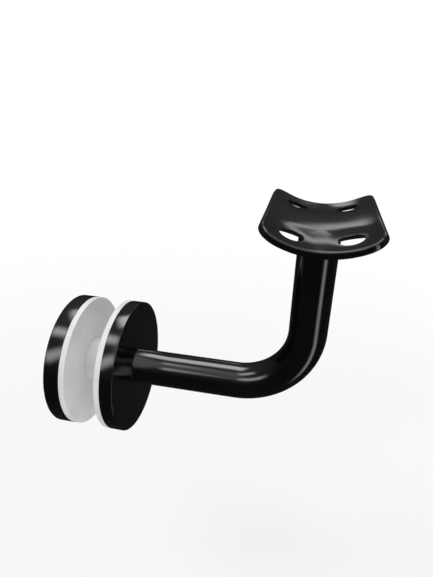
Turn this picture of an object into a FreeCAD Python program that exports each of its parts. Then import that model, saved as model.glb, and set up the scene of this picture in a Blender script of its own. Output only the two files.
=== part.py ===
"""Glass-mounted handrail bracket.

Two round discs clamp a glass panel between thin gaskets.  A bent bar stands out
from the front disc, turns upwards and carries a curved saddle plate, which is
screwed to the underside of a round handrail.

Frame, in millimetres:
    origin  centre of the front gasket's face, where it presses on the glass
    +X      out of the glass, towards the handrail
    +Y      along the handrail
    +Z      up
"""
import FreeCAD, Part
import math
import os
from FreeCAD import Vector

# ---------------------------------------------------------------- driving sizes
# Glass clamp
glass_thickness = 10.0          # panel that the clamp is set for
gasket_diameter = 44.8
gasket_thickness = 1.9          # 2 mm sheet, nipped by the clamp
gasket_edge_chamfer = 0.2       # on the edge at the glass
disc_diameter = 45.0
front_disc_thickness = 4.4
rear_disc_thickness = 5.2
disc_edge_chamfer = 0.3         # on each disc's outer face only
sleeve_diameter = 15.5          # keeps the stud off the glass
sleeve_end_gap = 0.4            # lets the gaskets take the clamping load
sleeve_in_gasket_clearance = 0.05
stud_diameter = 8.0
stud_clearance = 0.05           # around the stud, in every hole it passes
stud_reach_in_rear_disc = 3.8
stud_reach_in_arm = 12.0
stud_tip_gap = 0.2              # between each stud tip and its hole's floor
stud_tip_chamfer = 0.6

# Arm
arm_diameter = 12.0
arm_bend_radius = 22.0          # of the bar's centre line
glass_to_rail_axis = 63.5
base_weld_size = 0.65           # polished bead between the arm and the front disc
saddle_weld_size = 0.5          # polished bead between the arm and the saddle

# Saddle plate
rail_diameter = 50.0
rail_seat_height = 57.2         # disc axis to the lowest line of the rail
saddle_length = 47.5            # along the rail
saddle_width = 31.5             # measured round the seat
saddle_thickness = 2.0
saddle_corner_radius = 5.0
saddle_edge_chamfer = 0.35      # all round the top and the underside
screw_spacing_along = 30.8
screw_spacing_across = 15.0     # measured round the seat
screw_hole_diameter = 6.6
screw_boss_height = 0.35        # each hole's surround is pressed up by this much
screw_boss_diameter = 14.0      # where the pressed surround fades out
countersink_diameter = 9.2      # on the underside
countersink_angle = 90.0

# Working allowances
cut_overrun = 1.0               # how far a cutting shape sticks out of what it cuts
same_place = 0.01               # two places closer than this are the same

# ---------------------------------------------------------------- derived places
X_AXIS, Y_AXIS, Z_AXIS = Vector(1, 0, 0), Vector(0, 1, 0), Vector(0, 0, 1)

front_disc_inner_x = gasket_thickness
front_disc_outer_x = front_disc_inner_x + front_disc_thickness
rear_gasket_inner_x = -glass_thickness
rear_disc_inner_x = rear_gasket_inner_x - gasket_thickness
rear_disc_outer_x = rear_disc_inner_x - rear_disc_thickness

arm_radius = arm_diameter / 2
disc_radius = disc_diameter / 2
stud_hole_radius = stud_diameter / 2 + stud_clearance
sleeve_radius = sleeve_diameter / 2

rail_radius = rail_diameter / 2
rail_axis_height = rail_seat_height + rail_radius
saddle_under_radius = rail_radius + saddle_thickness
saddle_half_angle = saddle_width / 2 / rail_radius
screw_angle = screw_spacing_across / 2 / rail_radius
rail_centre = Vector(glass_to_rail_axis, 0, rail_axis_height)


# ---------------------------------------------------------------- small helpers
def disc_along_x(radius, start_x, end_x):
    """A plain cylinder on the clamp's axis."""
    return Part.makeCylinder(radius, end_x - start_x, Vector(start_x, 0, 0), X_AXIS)


def turned_about_x(points):
    """A solid turned about the clamp's axis from (x, radius) corners."""
    corners = [Vector(x, 0, radius) for x, radius in points]
    face = Part.Face(Part.makePolygon(corners + corners[:1]))
    return face.revolve(Vector(0, 0, 0), X_AXIS, 360)


def at_seat_angle(radius, angle, y):
    """The point at this radius and angle round the rail's axis; angle 0 is straight down."""
    return rail_centre + Vector(radius * math.sin(angle), y, -radius * math.cos(angle))


def edges_where(shape, test):
    """The edges whose middle point passes the test."""
    chosen = []
    for edge in shape.Edges:
        middle = edge.valueAt((edge.FirstParameter + edge.LastParameter) / 2)
        if test(edge, middle):
            chosen.append(edge)
    return chosen


def distance_from_rail_axis(point):
    return math.hypot(point.x - rail_centre.x, point.z - rail_centre.z)


# ---------------------------------------------------------------- glass clamp
def make_front_disc():
    """Turned disc that the arm is welded to; the stud passes through its middle."""
    disc = turned_about_x([
        (front_disc_inner_x, stud_hole_radius),
        (front_disc_inner_x, disc_radius),
        (front_disc_outer_x - disc_edge_chamfer, disc_radius),
        (front_disc_outer_x, disc_radius - disc_edge_chamfer),
        (front_disc_outer_x, stud_hole_radius),
    ])
    return disc


def make_rear_disc():
    """Turned disc with a blind hole for the stud and a plain back."""
    hole_floor_x = rear_disc_inner_x - stud_reach_in_rear_disc - stud_tip_gap
    disc = turned_about_x([
        (rear_disc_inner_x, stud_hole_radius),
        (rear_disc_inner_x, disc_radius),
        (rear_disc_outer_x + disc_edge_chamfer, disc_radius),
        (rear_disc_outer_x, disc_radius - disc_edge_chamfer),
        (rear_disc_outer_x, 0),
        (hole_floor_x, 0),
        (hole_floor_x, stud_hole_radius),
    ])
    return disc


def make_gasket(start_x, glass_side_x):
    """Flat ring that keeps a disc off the glass and fits over the sleeve's end."""
    ring = disc_along_x(gasket_diameter / 2, start_x, start_x + gasket_thickness)
    rim = edges_where(ring, lambda edge, middle: (
        edge.Curve.TypeId == "Part::GeomCircle" and abs(middle.x - glass_side_x) < same_place))
    ring = ring.makeChamfer(gasket_edge_chamfer, rim)
    bore_radius = sleeve_radius + sleeve_in_gasket_clearance
    return ring.cut(disc_along_x(bore_radius, start_x - cut_overrun,
                                 start_x + gasket_thickness + cut_overrun))


def make_sleeve():
    """Spacer tube round the stud; it runs through both gaskets up to the front disc."""
    start_x = rear_disc_inner_x + sleeve_end_gap
    tube = disc_along_x(sleeve_radius, start_x, front_disc_inner_x)
    return tube.cut(disc_along_x(stud_hole_radius, start_x - cut_overrun,
                                 front_disc_inner_x + cut_overrun))


def make_stud():
    """Clamping stud, from the rear disc's hole to the arm's hole."""
    start_x = rear_disc_inner_x - stud_reach_in_rear_disc
    end_x = front_disc_outer_x + stud_reach_in_arm
    rod = disc_along_x(stud_diameter / 2, start_x, end_x)
    rims = edges_where(rod, lambda edge, middle: edge.Curve.TypeId == "Part::GeomCircle")
    return rod.makeChamfer(stud_tip_chamfer, rims)


# ---------------------------------------------------------------- arm
def make_arm():
    """Round bar, bent once through a quarter turn, with a weld bead at each end."""
    bend_start_x = glass_to_rail_axis - arm_bend_radius
    foot = Part.makeCylinder(arm_radius, bend_start_x - front_disc_outer_x,
                             Vector(front_disc_outer_x, 0, 0), X_AXIS)
    section = Part.Face(Part.Wire(Part.makeCircle(arm_radius, Vector(bend_start_x, 0, 0), X_AXIS)))
    bend = section.revolve(Vector(bend_start_x, 0, arm_bend_radius), -Y_AXIS, 90)
    post = Part.makeCylinder(arm_radius, rail_seat_height - arm_bend_radius,
                             Vector(glass_to_rail_axis, 0, arm_bend_radius), Z_AXIS)
    bar = foot.fuse([bend, post]).removeSplitter()

    # Weld bead at the front disc, dressed to a cone.
    bead = Part.makeCone(arm_radius + base_weld_size, arm_radius, base_weld_size,
                         Vector(front_disc_outer_x, 0, 0), X_AXIS)
    bar = bar.fuse(bead)

    # The post is trimmed to the saddle's underside, with a bead all round the joint.
    outside = Part.makeCylinder(saddle_under_radius, arm_diameter * 2,
                                rail_centre - Vector(0, arm_diameter, 0), Y_AXIS)
    below = Part.makeBox(arm_diameter * 2, arm_diameter * 2, arm_diameter * 2,
                         Vector(glass_to_rail_axis - arm_diameter, -arm_diameter,
                                rail_seat_height - arm_diameter * 2))
    seat_block = outside.common(below.fuse(below.translated(Vector(0, 0, arm_diameter * 2))))
    joined = bar.fuse(seat_block)
    joint_edges = edges_where(joined, lambda edge, middle: (
        abs(distance_from_rail_axis(middle) - saddle_under_radius) < same_place
        and math.hypot(middle.x - glass_to_rail_axis, middle.y) < arm_radius + same_place))
    bar = joined.makeChamfer(saddle_weld_size, joint_edges).cut(seat_block)

    hole_end_x = front_disc_outer_x + stud_reach_in_arm + stud_tip_gap
    return bar.cut(disc_along_x(stud_hole_radius, front_disc_outer_x - cut_overrun, hole_end_x))


# ---------------------------------------------------------------- saddle plate
def screw_places():
    """Angle round the seat and distance along the rail of each screw hole."""
    return [(angle, y) for angle in (-screw_angle, screw_angle)
            for y in (-screw_spacing_along / 2, screw_spacing_along / 2)]


def make_boss(hole_angle, hole_y):
    """The pressed surround of one hole: a low cone about the hole's axis."""
    hole_radius = screw_hole_diameter / 2
    foot_radius = screw_boss_diameter / 2
    rise_per_radius = screw_boss_height / (foot_radius - hole_radius)
    inwards = Vector(-math.sin(hole_angle), 0, math.cos(hole_angle))
    return Part.makeCone(foot_radius, hole_radius / 2, rise_per_radius * (foot_radius - hole_radius / 2),
                         at_seat_angle(rail_radius, hole_angle, hole_y), inwards)


def make_saddle():
    """Pressed plate, curved to the rail, with four bossed and countersunk screw holes."""
    half_length = saddle_length / 2

    def arc(radius):
        return Part.Arc(at_seat_angle(radius, -saddle_half_angle, -half_length),
                        at_seat_angle(radius, 0, -half_length),
                        at_seat_angle(radius, saddle_half_angle, -half_length)).toShape()

    ends = [Part.makeLine(at_seat_angle(rail_radius, angle, -half_length),
                          at_seat_angle(saddle_under_radius, angle, -half_length))
            for angle in (-saddle_half_angle, saddle_half_angle)]
    outline = Part.Wire(Part.__sortEdges__([arc(rail_radius), ends[1], arc(saddle_under_radius), ends[0]]))
    plate = Part.Face(outline).extrude(Vector(0, saddle_length, 0))

    corners = edges_where(plate, lambda edge, middle: (
        edge.Curve.TypeId == "Part::GeomLine" and abs(abs(middle.y) - half_length) < same_place))
    plate = plate.makeFillet(saddle_corner_radius, corners)

    def rim(radius):
        """The edges of the plate's top or bottom outline."""
        return edges_where(plate, lambda edge, middle: (
            abs(distance_from_rail_axis(middle) - radius) < same_place))

    plate = plate.makeChamfer(saddle_edge_chamfer, rim(rail_radius) + rim(saddle_under_radius))
    plate = plate.fuse([make_boss(angle, y) for angle, y in screw_places()])

    slope = math.tan(math.radians(countersink_angle / 2))
    countersink_depth = (countersink_diameter - screw_hole_diameter) / 2 / slope
    for angle, y in screw_places():
        inwards = Vector(-math.sin(angle), 0, math.cos(angle))
        under = at_seat_angle(saddle_under_radius, angle, y)
        start = under - inwards * cut_overrun
        hole = Part.makeCylinder(screw_hole_diameter / 2,
                                 cut_overrun * 2 + saddle_thickness + screw_boss_height, start, inwards)
        cone = Part.makeCone(countersink_diameter / 2 + cut_overrun * slope, screw_hole_diameter / 2,
                             cut_overrun + countersink_depth, start, inwards)
        plate = plate.cut([hole, cone])
    return plate


pieces = {
    "front_disc": make_front_disc(),
    "front_gasket": make_gasket(0.0, 0.0),
    "rear_gasket": make_gasket(rear_disc_inner_x, rear_gasket_inner_x),
    "rear_disc": make_rear_disc(),
    "glass_sleeve": make_sleeve(),
    "clamp_stud": make_stud(),
    "arm_rod": make_arm(),
    "saddle_plate": make_saddle(),
}

os.makedirs("parts", exist_ok=True)
for name, shape in pieces.items():
    solid, = shape.Solids           # each piece is one solid
    print(name, "valid" if solid.isValid() else "NOT VALID", round(solid.Volume, 2), "mm3")
    solid.exportStep("parts/" + name + ".step")
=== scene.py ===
"""Looks of a glass-mounted handrail bracket: gloss black metal, white gaskets, pale studio."""
import logging
import math
from dataclasses import dataclass
from enum import Enum
from typing import Callable

import bmesh
import bpy
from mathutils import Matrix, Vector


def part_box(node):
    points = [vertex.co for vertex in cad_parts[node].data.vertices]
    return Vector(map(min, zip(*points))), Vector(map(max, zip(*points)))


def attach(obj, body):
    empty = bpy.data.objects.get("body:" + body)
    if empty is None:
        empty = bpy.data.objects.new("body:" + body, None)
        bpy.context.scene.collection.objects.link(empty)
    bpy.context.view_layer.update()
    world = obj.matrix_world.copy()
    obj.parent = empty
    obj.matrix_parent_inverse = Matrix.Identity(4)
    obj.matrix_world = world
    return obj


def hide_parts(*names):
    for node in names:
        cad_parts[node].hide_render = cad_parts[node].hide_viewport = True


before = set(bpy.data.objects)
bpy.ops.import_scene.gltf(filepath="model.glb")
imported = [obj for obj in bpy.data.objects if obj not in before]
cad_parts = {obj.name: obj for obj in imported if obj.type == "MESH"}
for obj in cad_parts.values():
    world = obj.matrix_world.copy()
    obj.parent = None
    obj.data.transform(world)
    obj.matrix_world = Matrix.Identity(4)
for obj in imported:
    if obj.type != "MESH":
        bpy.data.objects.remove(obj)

logging.basicConfig(level=logging.INFO, format="%(message)s")
log = logging.getLogger("handrail_bracket")

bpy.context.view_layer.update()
MM = 0.001
NodeTree = bpy.types.NodeTree
Node = bpy.types.Node
Socket = bpy.types.NodeSocket
Material = bpy.types.Material
Obj = bpy.types.Object


# ------------------------------------------------------------------ node helpers
@dataclass
class Wiring:
    """Adds and joins nodes in one tree.

    Args:
        tree: the node tree that is worked on.
    """

    tree: NodeTree

    def add(self, kind: str, x: float = 0, y: float = 0, **settings: object) -> Node:
        """Adds a node.

        Args:
            kind: the node's Blender type name.
            x: where it stands in the editor, across.
            y: where it stands in the editor, up.
            settings: properties of the node.

        Returns:
            The new node.
        """
        node = self.tree.nodes.new(kind)
        node.location = (x, y)
        for name, value in settings.items():
            setattr(node, name, value)
        return node

    def join(self, start: Socket, end: Socket) -> None:
        """Links one socket to another."""
        self.tree.links.new(start, end)

    def maths(self, operation: str, a: Socket | float, b: Socket | float = 0.0) -> Socket:
        """Adds a Math node.

        Args:
            operation: the node's operation.
            a: first value or socket.
            b: second value or socket.

        Returns:
            The result's socket.
        """
        node = self.add("ShaderNodeMath", operation=operation)
        for slot, given in zip(node.inputs, (a, b)):
            if isinstance(given, (int, float)):
                slot.default_value = given
            else:
                self.join(given, slot)
        return node.outputs[0]

    def noise(self, where: Socket, scale: float, detail: float = 3.0, rough: float = 0.5) -> Socket:
        """Adds a Noise texture.

        Args:
            where: coordinates, in metres.
            scale: how many features fit in a metre.
            detail: how many finer layers there are.
            rough: how strong the finer layers are.

        Returns:
            The noise value's socket.
        """
        node = self.add("ShaderNodeTexNoise")
        node.inputs["Scale"].default_value = scale
        node.inputs["Detail"].default_value = detail
        node.inputs["Roughness"].default_value = rough
        self.join(where, node.inputs["Vector"])
        return node.outputs[0]

    def dot(self, direction: Socket, axis: Vector) -> Socket:
        """Adds the dot product with a fixed axis.

        Args:
            direction: the changing vector.
            axis: the fixed one.

        Returns:
            The product's socket.
        """
        node = self.add("ShaderNodeVectorMath", operation="DOT_PRODUCT")
        self.join(direction, node.inputs[0])
        node.inputs[1].default_value = axis
        return node.outputs["Value"]

    def remap(self, value: Socket, low: float, high: float, to_low: float, to_high: float,
              blend: str = "LINEAR") -> Socket:
        """Maps one range of values onto another, clamped.

        Args:
            value: what is mapped.
            low: start of the old range.
            high: end of the old range.
            to_low: start of the new range.
            to_high: end of the new range.
            blend: how it moves between the two ends.

        Returns:
            The mapped value's socket.
        """
        node = self.add("ShaderNodeMapRange", interpolation_type=blend)
        for slot, given in zip(node.inputs[1:5], (low, high, to_low, to_high)):
            slot.default_value = given
        self.join(value, node.inputs[0])
        return node.outputs[0]


# ------------------------------------------------------------------ finishes
@dataclass(frozen=True)
class SurfaceGrain:
    """Shared group: slow waves, fine grain and cloudy handling marks of a finished surface.

    Args:
        name: the node group's name.
        cloud_scale: how many handling marks fit in a metre.
    """

    name: str = "surface_grain"
    cloud_scale: float = 70.0

    def group(self) -> NodeTree:
        """Makes the group, or finds it if it is there.

        Returns:
            The node group, with a height in metres and a cloud from 0 to 1.
        """
        if self.name in bpy.data.node_groups:
            return bpy.data.node_groups[self.name]
        tree = bpy.data.node_groups.new(self.name, "ShaderNodeTree")
        tree.interface.new_socket(name="Place", in_out="INPUT", socket_type="NodeSocketVector")
        for name in ("Wave Scale", "Wave Height", "Grain Scale", "Grain Height"):
            tree.interface.new_socket(name=name, in_out="INPUT", socket_type="NodeSocketFloat")
        for name in ("Height", "Cloud"):
            tree.interface.new_socket(name=name, in_out="OUTPUT", socket_type="NodeSocketFloat")
        wiring = Wiring(tree)
        given = wiring.add("NodeGroupInput", -900)
        result = wiring.add("NodeGroupOutput", 500)
        layers = []
        for scale, height in (("Wave Scale", "Wave Height"), ("Grain Scale", "Grain Height")):
            value = wiring.noise(given.outputs["Place"], 100, 2)
            wiring.join(given.outputs[scale], value.node.inputs["Scale"])
            layers.append(wiring.maths("MULTIPLY", wiring.maths("SUBTRACT", value, 0.5),
                                       given.outputs[height]))
        wiring.join(wiring.maths("ADD", *layers), result.inputs["Height"])
        cloud = wiring.noise(given.outputs["Place"], self.cloud_scale, 5, 0.6)
        wiring.join(wiring.remap(cloud, 0.32, 0.68, 0, 1, "SMOOTHSTEP"), result.inputs["Cloud"])
        return tree

    def place(self, wiring: Wiring, wave: tuple[float, float], grain: tuple[float, float]) -> Node:
        """Puts the group in a material and wires its height to a new Bump node.

        Args:
            wiring: the material's tree.
            wave: how many slow waves fit in a metre, and their height in metres.
            grain: the same for the fine grain.

        Returns:
            The group's node.
        """
        node = wiring.add("ShaderNodeGroup", -700, node_tree=self.group())
        for name, value in zip(("Wave Scale", "Wave Height", "Grain Scale", "Grain Height"), (*wave, *grain)):
            node.inputs[name].default_value = value
        wiring.join(wiring.add("ShaderNodeTexCoord", -900).outputs["Object"], node.inputs["Place"])
        bump = wiring.add("ShaderNodeBump", -250, -300)
        bump.inputs["Strength"].default_value = 1
        bump.inputs["Distance"].default_value = 1
        wiring.join(node.outputs["Height"], bump.inputs["Height"])
        wiring.join(bump.outputs[0], wiring.tree.nodes["Principled BSDF"].inputs["Normal"])
        return node


@dataclass(frozen=True)
class Finish:
    """What every finish of the bracket has.

    Args:
        name: the material's name.
        dark: its colour where it is darkest, linear.
        light: its colour where it is lightest, linear.
        roughness: its least and most roughness.
        wave: slow waves in a metre, and their height in metres.
        grain: fine grains in a metre, and their height in metres.
        sockets: plain values of the shader.
    """

    name: str
    dark: tuple[float, float, float]
    light: tuple[float, float, float]
    roughness: tuple[float, float]
    wave: tuple[float, float]
    grain: tuple[float, float]
    sockets: tuple[tuple[str, float], ...] = ()

    def pattern(self, wiring: Wiring, cloud: Socket) -> Socket:
        """Gives the value from 0 to 1 that colour and roughness follow."""
        return cloud

    def build(self) -> Material:
        """Makes the material.

        Returns:
            The finished material.
        """
        material = bpy.data.materials.new(self.name)
        material.use_nodes = True
        wiring = Wiring(material.node_tree)
        shader = material.node_tree.nodes["Principled BSDF"]
        for name, value in self.sockets:
            shader.inputs[name].default_value = value
        grain = SurfaceGrain().place(wiring, self.wave, self.grain)
        value = self.pattern(wiring, grain.outputs["Cloud"])
        tone = wiring.add("ShaderNodeMix", -250, data_type="RGBA")
        tone.inputs[6].default_value = (*self.dark, 1)
        tone.inputs[7].default_value = (*self.light, 1)
        wiring.join(value, tone.inputs[0])
        wiring.join(tone.outputs[2], shader.inputs["Base Color"])
        wiring.join(wiring.remap(value, 0, 1, *self.roughness), shader.inputs["Roughness"])
        return material


@dataclass(frozen=True)
class TurnedSteel(Finish):
    """Bare steel that carries the fine rings of the lathe.

    Args:
        ring_scale: how many rings fit in a metre along X.
    """

    ring_scale: float = 1500.0

    def pattern(self, wiring: Wiring, cloud: Socket) -> Socket:
        """Lays fine rings round the X axis over the clouds."""
        rings = wiring.add("ShaderNodeTexWave", bands_direction="X")
        rings.inputs["Scale"].default_value = self.ring_scale / 20
        rings.inputs["Distortion"].default_value = 0.6
        wiring.join(wiring.add("ShaderNodeTexCoord").outputs["Object"], rings.inputs["Vector"])
        return wiring.maths("MULTIPLY", wiring.maths("ADD", rings.outputs["Fac"], cloud), 0.5)


GLOSS_BLACK = Finish("gloss_black_coat", dark=(0.0016, 0.0016, 0.0017), light=(0.0028, 0.0027, 0.0027),
                     roughness=(0.09, 0.13), wave=(260, 1.6e-6), grain=(2200, 1.2e-7),
                     sockets=(("IOR", 1.6),))
WHITE_NYLON = Finish("white_nylon", dark=(0.80, 0.79, 0.785), light=(0.86, 0.855, 0.85),
                     roughness=(0.38, 0.5), wave=(400, 5e-6), grain=(3000, 2.5e-6),
                     sockets=(("IOR", 1.5), ("Subsurface Weight", 0.12), ("Subsurface Scale", 0.0012)))
STEEL = TurnedSteel("bright_steel", dark=(0.42, 0.42, 0.43), light=(0.62, 0.62, 0.62),
                    roughness=(0.2, 0.34), wave=(500, 2e-6), grain=(4000, 5e-7),
                    sockets=(("Metallic", 1.0),))


# ------------------------------------------------------------------ workbench
class Pick(Enum):
    """What kind of element is selected."""

    VERTS = "VERT"
    EDGES = "EDGE"
    FACES = "FACE"


@dataclass
class Bench:
    """Holds the piece that is being modelled and the tools that work on it.

    Args:
        piece: the mesh object in work.
    """

    piece: Obj

    @staticmethod
    def clear() -> None:
        """Deselects everything, so that no tool touches another object."""
        if bpy.context.mode != "OBJECT":
            bpy.ops.object.mode_set(mode="OBJECT")
        bpy.ops.object.select_all(action="DESELECT")

    @classmethod
    def ring(cls, name: str, radius: float, x: float, sides: int) -> "Bench":
        """Starts a piece from a ring round the X axis, and opens it for editing.

        Args:
            name: the piece's name.
            radius: the ring's radius.
            x: where it stands along the axis.
            sides: how many sides it has.

        Returns:
            The bench that holds it.
        """
        cls.clear()
        bpy.ops.mesh.primitive_circle_add(vertices=sides, radius=radius, location=(x, 0, 0),
                                          rotation=(0, math.pi / 2, 0))
        return cls.take(name)

    @classmethod
    def take(cls, name: str) -> "Bench":
        """Names the new primitive, settles its place in its mesh and opens it for editing.

        Args:
            name: the piece's name.

        Returns:
            The bench that holds it.
        """
        piece = bpy.context.active_object
        piece.name = piece.data.name = name
        bpy.ops.object.transform_apply(location=True, rotation=True, scale=True)
        bpy.ops.object.mode_set(mode="EDIT")
        bpy.ops.mesh.select_all(action="SELECT")
        return cls(piece)

    def select(self, kind: Pick, test: Callable[[Vector], bool]) -> int:
        """Selects the elements whose middle passes a test, and nothing else.

        Args:
            kind: vertices, edges or faces.
            test: says which middles are wanted.

        Returns:
            How many were found.
        """
        bpy.ops.mesh.select_mode(type=kind.value)
        bpy.ops.mesh.select_all(action="DESELECT")
        mesh = bmesh.from_edit_mesh(self.piece.data)
        group = {Pick.VERTS: mesh.verts, Pick.EDGES: mesh.edges, Pick.FACES: mesh.faces}[kind]
        count = 0
        for element in group:
            if kind is Pick.VERTS:
                middle = element.co
            else:
                middle = sum((vert.co for vert in element.verts), Vector()) / len(element.verts)
            if test(middle):
                element.select_set(True)
                count += 1
        mesh.select_flush_mode()
        bmesh.update_edit_mesh(self.piece.data)
        return count

    def mean_reach(self, centre: Vector) -> float:
        """Measures how far the selected vertices stand from a point, on average."""
        chosen = [vert for vert in bmesh.from_edit_mesh(self.piece.data).verts if vert.select]
        return sum((vert.co - centre).length for vert in chosen) / len(chosen)

    def ring_up(self, centre: Vector, radius: float) -> None:
        """Draws the selected vertices onto a circle.

        Args:
            centre: the circle's middle.
            radius: the circle's radius.
        """
        bpy.ops.transform.tosphere(value=1.0, center_override=centre)
        grow = radius / self.mean_reach(centre)
        bpy.ops.transform.resize(value=(grow, grow, 1), center_override=centre)

    def step(self, move: Vector, scale: tuple[float, float, float] = (1, 1, 1),
             about: Vector | None = None) -> None:
        """Extrudes the selection, moves it and scales it.

        Args:
            move: how far the new part goes.
            scale: how much it grows along each axis.
            about: the point it grows from.
        """
        bpy.ops.mesh.extrude_region_move(TRANSFORM_OT_translate={"value": move})
        if scale != (1, 1, 1):
            bpy.ops.transform.resize(value=scale, center_override=about or Vector())

    def turn_on(self, stations: list[tuple[float, float]], start: tuple[float, float]) -> None:
        """Carries a ring along the X axis from station to station, as on a lathe.

        Args:
            stations: the (x, radius) of each new ring.
            start: the x and radius of the ring that is selected.
        """
        x, radius = start
        for next_x, next_radius in stations:
            grow = next_radius / radius
            self.step(Vector((next_x - x, 0, 0)), (1, grow, grow))
            x, radius = next_x, next_radius

    def weld(self, reach: float = 1e-6) -> None:
        """Merges doubled vertices and turns every face outwards.

        Args:
            reach: how near two vertices have to be.
        """
        bpy.ops.mesh.select_mode(type="VERT")
        bpy.ops.mesh.select_all(action="SELECT")
        bpy.ops.mesh.remove_doubles(threshold=reach)
        bpy.ops.mesh.normals_make_consistent(inside=False)

    def finish(self, angle: float) -> Obj:
        """Closes the edit and shades the piece.

        Args:
            angle: edges sharper than this many degrees stay crisp.

        Returns:
            The finished object.
        """
        bpy.ops.object.mode_set(mode="OBJECT")
        bpy.ops.object.shade_smooth_by_angle(angle=math.radians(angle))
        return self.piece

    def modify(self, kind: str, **settings: object) -> None:
        """Adds a modifier with these settings and applies it.

        Args:
            kind: the modifier's Blender type name.
            settings: its properties.
        """
        if bpy.context.mode != "OBJECT":
            bpy.ops.object.mode_set(mode="OBJECT")
        modifier = self.piece.modifiers.new(kind.lower(), kind)
        for name, value in settings.items():
            setattr(modifier, name, value)
        bpy.ops.object.modifier_apply(modifier=modifier.name)


def place_piece(piece: Obj, node: str, finish: Material) -> None:
    """Puts a finished piece in the place of its CAD node and dresses it.

    Args:
        piece: the modelled piece.
        node: the CAD node that it stands for.
        finish: the material.
    """
    piece.data.materials.clear()
    piece.data.materials.append(finish)
    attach(piece, "root")
    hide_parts(node)
    log.info("%s stands for %s: %d faces", piece.name, node, len(piece.data.polygons))


# ------------------------------------------------------------------ glass clamp
@dataclass
class GlassClamp:
    """The two turned discs, their gaskets and the sleeve between them.

    Args:
        disc_edge: rounding of each disc's outer edge.
        disc_inner_edge: rounding of each disc's edge at its gasket.
        gasket_edge: rounding of the gasket at the glass.
        bore: radius of the hole along the axis.
        sides: how many sides a full turn has.
    """

    disc_edge: float = 0.35 * MM
    disc_inner_edge: float = 0.12 * MM
    gasket_edge: float = 0.2 * MM
    bore: float = 4.05 * MM
    sides: int = 192

    def turned(self, name: str, node: str, rounds: dict[float, float], bore: float) -> Obj:
        """Turns a ring with the outline of a node's box and rounds its rims.

        Args:
            name: the new piece's name.
            node: the CAD node whose place it takes.
            rounds: the rounding of the rim at each end, by the end's x.
            bore: radius of the hole through it.

        Returns:
            The finished ring.
        """
        low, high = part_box(node)
        outer = (high[1] - low[1]) / 2
        bench = Bench.ring(name, bore, low[0], self.sides)
        stations = [(low[0], outer * share) for share in (0.4, 0.7, 0.95)] + [(low[0], outer)]
        stations += [(high[0], outer)] + [(high[0], outer * share) for share in (0.95, 0.7, 0.4)]
        stations += [(high[0], bore), (low[0], bore)]
        bench.turn_on(stations, (low[0], bore))
        bench.weld()
        for x, width in rounds.items():
            bench.select(Pick.EDGES, lambda middle: abs(middle.x - x) < 1e-6
                         and abs(math.hypot(middle.y, middle.z) - outer) < 1e-5)
            bpy.ops.mesh.bevel(offset=width, segments=5, profile=0.5, affect="EDGES")
        return bench.finish(50)

    def build(self) -> dict[str, Obj]:
        """Turns all five pieces.

        Returns:
            Each piece by the CAD node that it stands for.
        """
        pieces = {}
        for side, outwards in (("front", 1), ("rear", 0)):
            node = side + "_disc"
            ends = [corner[0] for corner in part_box(node)]
            pieces[node] = self.turned(side + "_clamp_disc", node, {
                ends[outwards]: self.disc_edge, ends[1 - outwards]: self.disc_inner_edge}, self.bore)
            node = side + "_gasket"
            ends = [corner[0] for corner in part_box(node)]
            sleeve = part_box("glass_sleeve")
            pieces[node] = self.turned(side + "_nylon_gasket", node, {
                ends[1 - outwards]: self.gasket_edge, ends[outwards]: self.gasket_edge / 2},
                (sleeve[1][1] - sleeve[0][1]) / 2 + 0.05 * MM)
        pieces["glass_sleeve"] = self.turned("nylon_sleeve", "glass_sleeve", {}, self.bore)
        return pieces

    def dress(self, pieces: dict[str, Obj], black: Material, white: Material) -> None:
        """Gives each piece its finish and its place.

        Args:
            pieces: what build made.
            black: finish of the discs.
            white: finish of the gaskets and the sleeve.
        """
        for node, piece in pieces.items():
            if node.endswith("disc"):
                place_piece(piece, node, black)
            else:
                place_piece(piece, node, white)


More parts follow.
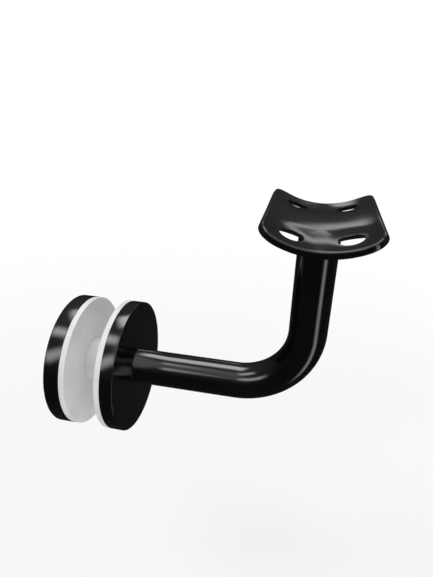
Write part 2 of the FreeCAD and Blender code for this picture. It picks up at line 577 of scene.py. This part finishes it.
# ------------------------------------------------------------------ arm
@dataclass
class Arm:
    """Round bar, bent once, from the front disc up to the saddle.

    Args:
        radius: of the bar.
        bend_radius: of the bar's centre line.
        bead: how far the low step at the foot stands out.
        lip: height of that step.
        flare: how far the bead under the saddle stands out.
        flare_start: where that bead starts, over the saddle's lowest point.
        flare_height: how tall that bead is.
        sides: how many sides the bar has.
        bend_steps: how many steps the bend has.
    """

    radius: float = 6 * MM
    bend_radius: float = 22 * MM
    bead: float = 0.55 * MM
    lip: float = 0.1 * MM
    flare: float = 0.3 * MM
    flare_start: float = 0.6 * MM
    flare_height: float = 1.3 * MM
    sides: int = 96
    bend_steps: int = 56

    def build(self) -> Obj:
        """Makes the bar from one ring.

        Returns:
            The finished bar.
        """
        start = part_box("front_disc")[1][0]
        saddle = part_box("saddle_plate")
        rail_x = (saddle[0][0] + saddle[1][0]) / 2
        under = saddle[0][2]
        outer = self.radius + self.bead
        bench = Bench.ring("bent_bar", outer, start, self.sides)
        stations = [(start + self.lip, outer), (start + self.lip, outer - self.bead * 0.5),
                    (start + self.lip, self.radius + 0.04 * MM), (start + self.lip * 1.5, self.radius)]
        bend_start = rail_x - self.bend_radius
        last = stations[-1][0]
        stations += [(last + (bend_start - last) * share, self.radius) for share in (0.33, 0.67, 1)]
        bench.turn_on(stations, (start, outer))
        bpy.ops.mesh.spin(steps=self.bend_steps, angle=math.pi / 2, axis=(0, 1, 0),
                          center=(bend_start, 0, self.bend_radius))
        centre = Vector((rail_x, 0, 0))
        foot = under + self.flare_start
        radius = self.radius
        for _ in range(3):
            bench.step(Vector((0, 0, (foot - self.bend_radius) / 3)))
        height = foot
        for share in (0.2, 0.4, 0.6, 0.8, 1.0):
            rise = self.flare_height * share
            wide = self.radius + self.flare * share ** 2
            bench.step(Vector((0, 0, foot + rise - height)), (wide / radius, wide / radius, 1), centre)
            height, radius = foot + rise, wide
        bpy.ops.mesh.edge_face_add()
        bench.select(Pick.EDGES, lambda middle: abs(middle.x - start) < 1e-7)
        bpy.ops.mesh.edge_face_add()
        bench.weld()
        bench.select(Pick.EDGES, lambda middle: abs(middle.x - start - self.lip) < 1e-6
                     and math.hypot(middle.y, middle.z) > outer - 0.02 * MM)
        bpy.ops.mesh.bevel(offset=0.05 * MM, segments=3, affect="EDGES")
        return bench.finish(40)


# ------------------------------------------------------------------ saddle plate
@dataclass
class SaddlePlate:
    """Pressed plate: shaped flat with its holes, then bent to the rail.

    Args:
        rail_radius: inner radius of the finished plate.
        width: across, measured round the seat.
        length: along the rail.
        thickness: of the plate.
        corner: radius of its corners.
        edge: rounding of its rim.
        hole: radius of each screw hole.
        hole_edge: rounding of the hole's mouth.
        sink: radius of the countersink on the underside.
        spread: half the spacing of the holes, across and along.
        dish: how far the mouth of each hole is drawn down.
        dish_reach: how far from the hole that fades out.
        crown: how far the weld draws the middle of the seat up.
        crown_reach: how far from the middle that fades out.
        cells: grid cells across and along, both odd.
        hole_cells: cells from a hole's middle to the edge of its patch.
        rings: radii of the rings between the patch and the hole, from the outside in.
        seat_height: how far the bent plate is moved up to its place.
    """

    rail_radius: float = 25 * MM
    width: float = 31.5 * MM
    length: float = 47.5 * MM
    thickness: float = 2 * MM
    corner: float = 5 * MM
    edge: float = 0.45 * MM
    hole: float = 3.3 * MM
    hole_edge: float = 0.13 * MM
    sink: float = 5.05 * MM
    spread: tuple[float, float] = (7.5 * MM, 15.4 * MM)
    dish: float = 0.3 * MM
    dish_reach: float = 5.5 * MM
    crown: float = 1.0 * MM
    crown_reach: float = 20 * MM
    cells: tuple[int, int] = (21, 31)
    hole_cells: float = 4.5
    rings: tuple[float, ...] = (6.2 * MM, 5.3 * MM, 4.5 * MM, 3.9 * MM)
    seat_height: float = 57.05 * MM

    def hole_places(self) -> list[tuple[float, float]]:
        """Across and along of the four holes on the flat plate."""
        return [(i * self.spread[0], j * self.spread[1]) for i in (-1, 1) for j in (-1, 1)]

    def round_corners(self, bench: Bench) -> None:
        """Draws the plate's square corners in to arcs, one row of the grid after another.

        Args:
            bench: the bench with the flat grid on it.
        """
        half = self.width / 2, self.length / 2
        cell = self.width / self.cells[0], self.length / self.cells[1]
        for way_x, way_y in ((-1, -1), (-1, 1), (1, -1), (1, 1)):
            centre = Vector((way_x * (half[0] - self.corner), way_y * (half[1] - self.corner), 0))
            for row in range(int(self.corner / cell[1]) + 1):
                edge = self.corner - row * cell[0], self.corner - row * cell[1]

                def on_row(place: Vector) -> bool:
                    """Tells whether a point of the grid is on this row of the corner."""
                    gap_x = (place.x - centre.x) * way_x - edge[0]
                    gap_y = (place.y - centre.y) * way_y - edge[1]
                    inside = gap_x > -edge[0] and gap_y > -edge[1]
                    return inside and abs(max(gap_x, gap_y)) < 1e-6

                if bench.select(Pick.VERTS, on_row) > 1:
                    bench.ring_up(centre, edge[0])

    def open_holes(self, bench: Bench) -> None:
        """Cuts a patch out round each hole and carries its edge in, ring by ring, to the hole.

        Args:
            bench: the bench with the flat grid on it.
        """
        cell = self.width / self.cells[0], self.length / self.cells[1]
        half = self.hole_cells * cell[0], self.hole_cells * cell[1]
        for across, along in self.hole_places():
            nearest = round(along / cell[1]) * cell[1]
            centre = Vector((across, along, 0))
            bench.select(Pick.FACES, lambda middle: abs(middle.x - across) < half[0]
                         and abs(middle.y - nearest) < half[1])
            bpy.ops.mesh.delete(type="FACE")
            bench.select(Pick.EDGES, lambda middle: abs(middle.x - across) < half[0] + 1e-6
                         and abs(middle.y - nearest) < half[1] + 1e-6)
            bench.step(Vector((0, along - nearest, 0)))
            bench.ring_up(centre, self.rings[0])
            radius = self.rings[0]
            for wanted in (*self.rings[1:], self.hole):
                grow = wanted / radius
                bench.step(Vector(), (grow, grow, 1), centre)
                radius = wanted

    def build(self) -> Obj:
        """Models the plate.

        Returns:
            The finished plate.
        """
        Bench.clear()
        bpy.ops.mesh.primitive_grid_add(x_subdivisions=self.cells[0], y_subdivisions=self.cells[1], size=1)
        bpy.context.active_object.scale = (self.width, self.length, 1)
        bench = Bench.take("saddle_seat")
        self.open_holes(bench)
        self.round_corners(bench)
        bench.weld()
        self.thicken(bench)
        for across, along in self.hole_places():
            bench.select(Pick.VERTS, lambda middle: math.hypot(middle.x - across, middle.y - along)
                         < self.hole + self.hole_edge * 1.1)
            self.draw(-self.dish, self.dish_reach)
        bench.select(Pick.VERTS, lambda middle: math.hypot(middle.x, middle.y) < 1.5 * MM)
        self.draw(self.crown, self.crown_reach)
        bench.modify("SUBSURF", levels=2, render_levels=2)
        return self.seat(bench)

    @staticmethod
    def draw(height: float, reach: float) -> None:
        """Presses the selected spot up or down, and its surroundings softly with it."""
        bpy.ops.transform.translate(value=(0, 0, height), use_proportional_edit=True,
                                    proportional_edit_falloff="SMOOTH", proportional_size=reach)

    def thicken(self, bench: Bench) -> None:
        """Gives the sheet its thickness, its countersinks and its rounded rims.

        Args:
            bench: the bench with the flat sheet.
        """
        bpy.ops.mesh.select_all(action="SELECT")
        straight = self.thickness - (self.sink - self.hole)
        bench.step(Vector((0, 0, -straight)))
        bench.step(Vector((0, 0, straight - self.thickness)))
        bench.weld()
        under = self.hole, *self.rings[::-1]
        spread = [self.sink + (self.rings[0] + 0.1 * MM - self.sink) * i / (len(under) - 1)
                  for i in range(len(under))]
        for across, along in self.hole_places():
            for old, new in reversed(list(zip(under, spread))):
                bench.select(Pick.VERTS, lambda middle: middle.z < 0.01 * MM - self.thickness and abs(
                    math.hypot(middle.x - across, middle.y - along) - old) < 2e-5)
                bpy.ops.transform.resize(value=(new / old, new / old, 1),
                                         center_override=(across, along, 0))
        bench.select(Pick.EDGES, self.on_rim)
        bpy.ops.mesh.bevel(offset=self.edge, segments=3, profile=0.5, affect="EDGES")
        for across, along in self.hole_places():
            bench.select(Pick.EDGES, lambda middle: middle.z > -0.01 * MM and math.hypot(
                middle.x - across, middle.y - along) < self.hole)
            bpy.ops.mesh.bevel(offset=self.hole_edge, segments=3, profile=0.5, affect="EDGES")

    def on_rim(self, place: Vector) -> bool:
        """Says whether an edge's middle lies on the upper or lower rim of the flat plate."""
        if min(abs(place.z), abs(place.z + self.thickness)) > 1e-6:
            return False
        across = abs(place.x) - self.width / 2 + self.corner
        along = abs(place.y) - self.length / 2 + self.corner
        if across > 0 and along > 0:
            gap = math.hypot(across, along) - self.corner
        else:
            gap = max(across, along) - self.corner
        return gap > -0.09 * MM

    def seat(self, bench: Bench) -> Obj:
        """Moves the bent plate onto its place under the rail.

        Args:
            bench: the bench with the bent plate.

        Returns:
            The finished plate.
        """
        quarter = math.pi / 2
        bpy.ops.object.mode_set(mode="EDIT")
        bpy.ops.mesh.select_all(action="SELECT")
        bpy.ops.transform.rotate(value=quarter, orient_axis="Y", center_override=(0, 0, 0))
        bpy.ops.object.mode_set(mode="OBJECT")
        tall = max(corner[2] for corner in bench.piece.bound_box) - min(
            corner[2] for corner in bench.piece.bound_box)
        bench.modify("SIMPLE_DEFORM", deform_method="BEND", deform_axis="Y", angle=-tall / self.rail_radius)
        bpy.ops.object.mode_set(mode="EDIT")
        bpy.ops.mesh.select_all(action="SELECT")
        bpy.ops.transform.rotate(value=-quarter, orient_axis="Y", center_override=(0, 0, 0))
        bpy.ops.object.mode_set(mode="OBJECT")
        low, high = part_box("saddle_plate")
        bpy.ops.object.mode_set(mode="EDIT")
        bpy.ops.mesh.select_all(action="SELECT")
        bpy.ops.transform.translate(value=Vector(((low[0] + high[0]) / 2, 0, self.seat_height)))
        return bench.finish(60)


# ------------------------------------------------------------------ studio
@dataclass(frozen=True)
class Softbox:
    """A soft-edged rectangle of light far off in the room.

    Args:
        azimuth: its direction, in degrees from +X towards +Y.
        elevation: its height over the horizon, in degrees.
        width: half its width, in degrees.
        height: half its height, in degrees.
        edge: how wide its soft edge is, in degrees.
        radiance: brightness at its middle.
        roll: how far it leans, in degrees.
    """

    azimuth: float
    elevation: float
    width: float
    height: float
    edge: float
    radiance: float
    roll: float = 0.0

    def light(self, wiring: Wiring, direction: Socket) -> Socket:
        """Adds the nodes that give the box's light in any direction.

        Args:
            wiring: the world's tree.
            direction: the direction that is looked in.

        Returns:
            The brightness's socket.
        """
        turn, rise, lean = (math.radians(a) for a in (self.azimuth, self.elevation, self.roll))
        toward = Vector((math.cos(turn) * math.cos(rise), math.sin(turn) * math.cos(rise), math.sin(rise)))
        level = Vector((-math.sin(turn), math.cos(turn), 0))
        steep = toward.cross(level)
        across = level * math.cos(lean) + steep * math.sin(lean)
        upward = steep * math.cos(lean) - level * math.sin(lean)
        ahead = wiring.dot(direction, toward)
        safe = wiring.maths("MAXIMUM", ahead, 0.001)
        total = wiring.maths("GREATER_THAN", ahead, 0.0)
        for axis, half in ((across, self.width), (upward, self.height)):
            offset = wiring.maths("ABSOLUTE", wiring.maths("DIVIDE", wiring.dot(direction, axis), safe))
            near, far = (math.tan(math.radians(max(half + step, 0.1)))
                         for step in (-self.edge / 2, self.edge / 2))
            total = wiring.maths("MULTIPLY", total, wiring.remap(offset, near, far, 1, 0, "SMOOTHSTEP"))
        return wiring.maths("MULTIPLY", total, self.radiance)


# The lights, at round places and strengths. Most are rounded from a study of the reflections;
# LOW_STRIP was worked out from the mirror direction on the upright bar.
OVERHEAD = Softbox(azimuth=110, elevation=65, width=14, height=12, edge=12, radiance=6)
LEFT_KEY = Softbox(azimuth=-120, elevation=30, width=15, height=7, edge=12, radiance=4, roll=45)
LEFT_TOP = Softbox(azimuth=-150, elevation=60, width=12, height=6, edge=12, radiance=5, roll=45)
BACK_STRIP = Softbox(azimuth=75, elevation=30, width=25, height=3, edge=6, radiance=1.5, roll=-20)
LOW_STRIP = Softbox(azimuth=-40, elevation=-25, width=4, height=30, edge=20, radiance=2.5)
FRONT_FILL = Softbox(azimuth=-45, elevation=55, width=35, height=30, edge=20, radiance=0.8)


@dataclass
class Studio:
    """Camera, lights, floor and surroundings.

    Args:
        camera_place: where the camera stands, in metres.
        camera_turn: its rotation, in degrees.
        lens: focal length for a 36 mm sensor, in millimetres.
        room_low: brightness of the plain room at the horizon and below it.
        room_high: its brightness straight up.
        boxes: the lights.
        floor_drop: how far the floor lies below the frame's origin, in metres.
    """

    camera_place: tuple[float, float, float] = (0.0602, -0.1303, 0.0951)
    camera_turn: tuple[float, float, float] = (65.07, -1.41, 12.05)
    lens: float = 29.14
    room_low: float = 0.03
    room_high: float = 0.4
    boxes: tuple[Softbox, ...] = (OVERHEAD, LEFT_KEY, LEFT_TOP, BACK_STRIP, LOW_STRIP, FRONT_FILL)
    floor_drop: float = 0.12

    def stand_camera(self) -> None:
        """Sets up the camera."""
        data = bpy.data.cameras.new("camera")
        data.lens = self.lens
        data.clip_start = 0.005
        camera = bpy.data.objects.new("camera", data)
        camera.location = self.camera_place
        camera.rotation_euler = [math.radians(angle) for angle in self.camera_turn]
        bpy.context.scene.collection.objects.link(camera)
        bpy.context.scene.camera = camera

    def surround(self) -> None:
        """White backdrop for the camera, a room with soft lights for everything else."""
        world = bpy.data.worlds.new("studio")
        bpy.context.scene.world = world
        world.use_nodes = True
        wiring = Wiring(world.node_tree)
        world.node_tree.nodes.clear()
        direction = wiring.add("ShaderNodeTexCoord").outputs["Generated"]
        height = wiring.maths("ARCSINE", wiring.dot(direction, Vector((0, 0, 1))))
        total = wiring.remap(height, 0, math.pi / 2, self.room_low, self.room_high)
        for box in self.boxes:
            total = wiring.maths("ADD", total, box.light(wiring, direction))
        room = wiring.add("ShaderNodeBackground")
        room.inputs["Color"].default_value = (1, 1, 1, 1)
        wiring.join(total, room.inputs["Strength"])
        white = wiring.add("ShaderNodeBackground")
        white.inputs["Color"].default_value = (1, 1, 1, 1)
        mix = wiring.add("ShaderNodeMixShader")
        wiring.join(wiring.add("ShaderNodeLightPath").outputs["Is Camera Ray"], mix.inputs[0])
        wiring.join(room.outputs[0], mix.inputs[1])
        wiring.join(white.outputs[0], mix.inputs[2])
        wiring.join(mix.outputs[0], wiring.add("ShaderNodeOutputWorld").inputs[0])

    def lay_floor(self) -> None:
        """Pale floor under the bracket; it fades into the white backdrop further out."""
        bpy.ops.object.select_all(action="DESELECT")
        bpy.ops.mesh.primitive_circle_add(vertices=96, radius=30, fill_type="NGON",
                                          location=(0, 0, -self.floor_drop))
        floor = bpy.context.active_object
        floor.name = "floor"
        material = bpy.data.materials.new("pale_floor")
        material.use_nodes = True
        wiring = Wiring(material.node_tree)
        nodes = material.node_tree.nodes
        shader = nodes["Principled BSDF"]
        shader.inputs["Base Color"].default_value = (0.9, 0.9, 0.9, 1)
        shader.inputs["Roughness"].default_value = 0.95
        shader.inputs["Specular IOR Level"].default_value = 0
        glow = wiring.add("ShaderNodeEmission")
        glow.inputs["Strength"].default_value = 1
        place = wiring.add("ShaderNodeTexCoord").outputs["Object"]
        length = wiring.add("ShaderNodeVectorMath", operation="LENGTH")
        wiring.join(place, length.inputs[0])
        far = wiring.remap(length.outputs["Value"], 0.15, 0.5, 0.35, 1, "SMOOTHSTEP")
        seen = wiring.add("ShaderNodeLightPath").outputs["Is Camera Ray"]
        mix = wiring.add("ShaderNodeMixShader")
        wiring.join(wiring.maths("MULTIPLY", far, seen), mix.inputs[0])
        wiring.join(shader.outputs[0], mix.inputs[1])
        wiring.join(glow.outputs[0], mix.inputs[2])
        wiring.join(mix.outputs[0], nodes["Material Output"].inputs[0])
        floor.data.materials.append(material)
        floor.visible_glossy = False

    def build(self) -> None:
        """Sets up everything round the bracket."""
        self.stand_camera()
        self.surround()
        self.lay_floor()


def main() -> None:
    """Builds the studio and the bracket, piece by piece."""
    bpy.context.scene.view_settings.view_transform = "Standard"
    Studio().build()
    black = GLOSS_BLACK.build()
    white = WHITE_NYLON.build()
    clamp = GlassClamp()
    clamp.dress(clamp.build(), black, white)
    place_piece(Arm().build(), "arm_rod", black)
    place_piece(SaddlePlate().build(), "saddle_plate", black)
    steel = STEEL.build()
    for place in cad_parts["clamp_stud"].material_slots:
        place.material = steel
    log.info("clamp_stud keeps its shape, in turned steel")
    Bench.clear()
    bpy.context.view_layer.update()


if __name__ == "__main__":
    main()
